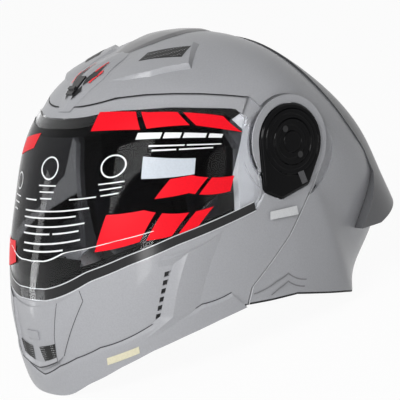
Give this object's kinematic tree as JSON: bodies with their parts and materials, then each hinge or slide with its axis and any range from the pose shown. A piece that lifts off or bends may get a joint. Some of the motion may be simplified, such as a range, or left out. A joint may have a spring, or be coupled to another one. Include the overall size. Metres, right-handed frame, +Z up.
{
  "type": "modular motorcycle helmet",
  "caption": "Full-face road helmet whose chin bar and clear visor lift on side hubs, with sliding vents, a latch button, a padded foam liner and a quick-release chin strap.",
  "frame": {"origin": "middle of the footprint box, on the table the helmet stands on", "axes": "+X to the wearer's left, -Y to the front, +Z up"},
  "size_m": [0.2582, 0.35, 0.2478],
  "materials": {
    "shell_paint": "satin silver-grey paint on a moulded fibre shell",
    "dark_paint": "satin dark grey paint",
    "vent_mesh": "moulded black grille",
    "red_plastic": "moulded red plastic",
    "black_plastic": "moulded black plastic",
    "rubber": "matt black rubber",
    "foam": "expanded polystyrene beads, black",
    "lining": "brushed knitted lining over foam",
    "webbing": "woven nylon webbing",
    "steel": "zinc-plated steel",
    "pod_gloss": "gloss black plastic",
    "visor_clear": "clear hard-coated polycarbonate",
    "film": "thin printed protective film"
  },
  "bodies": {
    "root": {"outer_shell": "shell_paint", "rear_spoiler": "shell_paint", "crown_scoop_left": "shell_paint", "crown_scoop_right": "shell_paint", "crown_mesh_left": "vent_mesh", "crown_mesh_right": "vent_mesh", "crown_spine": "dark_paint", "top_vent_housing": "shell_paint", "top_vent_grille": "vent_mesh", "eyeport_gasket": "rubber", "base_trim": "rubber", "eps_liner": "foam", "crown_pad": "lining", "cheek_pad_left": "lining", "cheek_pad_right": "lining", "neck_roll": "lining", "pivot_axle_left": "steel", "pivot_axle_right": "steel", "axle_screw_left": "steel", "axle_screw_right": "steel", "latch_striker_left": "steel", "latch_striker_right": "steel", "strap_anchor_left": "steel", "strap_anchor_right": "steel", "strap_left": "webbing", "strap_right": "webbing", "buckle_body": "black_plastic", "strap_tongue": "black_plastic"},
    "chin_bar": {"chin_bar_shell": "shell_paint", "hinge_arm_left": "steel", "hinge_arm_right": "steel", "pod_left": "pod_gloss", "pod_right": "pod_gloss", "pod_screws_left": "steel", "pod_screws_right": "steel", "chin_vent_cover": "shell_paint", "chin_vent_mesh": "vent_mesh", "side_vent_grille_left": "vent_mesh", "side_vent_grille_right": "vent_mesh", "chin_trim": "rubber", "visor_seal": "rubber", "latch_housing": "black_plastic", "chin_bar_liner": "foam", "chin_curtain": "lining", "breath_guard": "black_plastic", "latch_base_left": "black_plastic", "latch_base_right": "black_plastic"},
    "visor": {"visor_shield": "visor_clear", "visor_film": "film"},
    "top_slider": {"top_vent_slider": "red_plastic"},
    "chin_shutter": {"chin_vent_shutter": "black_plastic"},
    "chin_button": {"latch_button": "red_plastic"},
    "hook_left": {"latch_hook_left": "steel"},
    "hook_right": {"latch_hook_right": "steel"},
    "lever": {"buckle_lever": "red_plastic"}
  },
  "joints": [
    {"name": "chin_lift", "type": "hinge", "parent": "root", "child": "chin_bar", "pos_m": [0, 0.02425, 0.152], "axis": [-1, 0, 0], "range_deg": [0, 80]},
    {"name": "visor_lift", "type": "hinge", "parent": "chin_bar", "child": "visor", "pos_m": [0, 0.02425, 0.152], "axis": [-1, 0, 0], "range_deg": [0, 45]},
    {"name": "top_vent_slide", "type": "slide", "parent": "root", "child": "top_slider", "axis": [0, 0.866, 0.5], "range_m": [0, 0.006]},
    {"name": "chin_vent_slide", "type": "slide", "parent": "chin_bar", "child": "chin_shutter", "axis": [0, 0, 1], "range_m": [0, 0.003]},
    {"name": "latch_press", "type": "slide", "parent": "chin_bar", "child": "chin_button", "axis": [0, 0, 1], "range_m": [0, 0.003], "stiffness_N_per_m": 300},
    {"name": "hook_left_turn", "type": "hinge", "parent": "chin_bar", "child": "hook_left", "pos_m": [0.0933, -0.07975, 0.068], "axis": [-1, 0, 0], "range_deg": [0, 12]},
    {"name": "hook_right_turn", "type": "hinge", "parent": "chin_bar", "child": "hook_right", "pos_m": [-0.0933, -0.07975, 0.068], "axis": [-1, 0, 0], "range_deg": [0, 12]},
    {"name": "lever_turn", "type": "hinge", "parent": "root", "child": "lever", "pos_m": [0.0272, 0.02425, 0.021], "axis": [0, 1, 0], "range_deg": [0, 60]}
  ],
  "couplings": [
    {"joint": "hook_left_turn", "follows": "latch_press", "rad_per_m": 69.8},
    {"joint": "hook_right_turn", "follows": "latch_press", "rad_per_m": 69.8}
  ]
}
